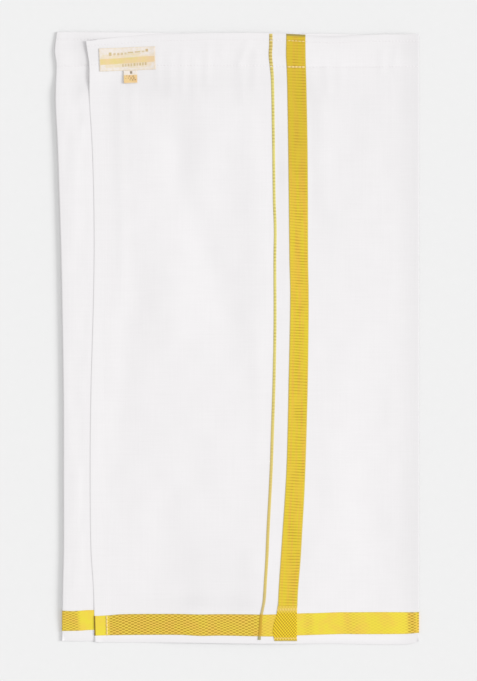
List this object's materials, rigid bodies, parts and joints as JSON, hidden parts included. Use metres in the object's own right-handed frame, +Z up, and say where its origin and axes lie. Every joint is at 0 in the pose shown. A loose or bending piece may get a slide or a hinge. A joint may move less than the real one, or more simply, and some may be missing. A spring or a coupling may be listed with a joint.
{
  "type": "child's dhoti cloth laid flat",
  "caption": "Flat-laid white cotton dhoti wrapped into a flattened tube, with a stitched waist casing, a hemmed free edge, gold zari bands and a woven label.",
  "frame": {"origin": "on the surface that the garment lies on, below the middle of its outline", "axes": "+Z up out of the front of the garment, +Y towards the waist casing, +X towards the right fold"},
  "size_m": [0.3642, 0.6128, 0.0069],
  "materials": {
    "white_cotton": "matt plain-woven cotton with gold zari bands",
    "woven_label": "satin-woven label in cream and gold thread"
  },
  "bodies": {
    "root": {"back": "white_cotton", "under_front": "white_cotton", "over_front": "white_cotton", "label": "woven_label", "size_tab": "woven_label"}
  },
  "joints": []
}
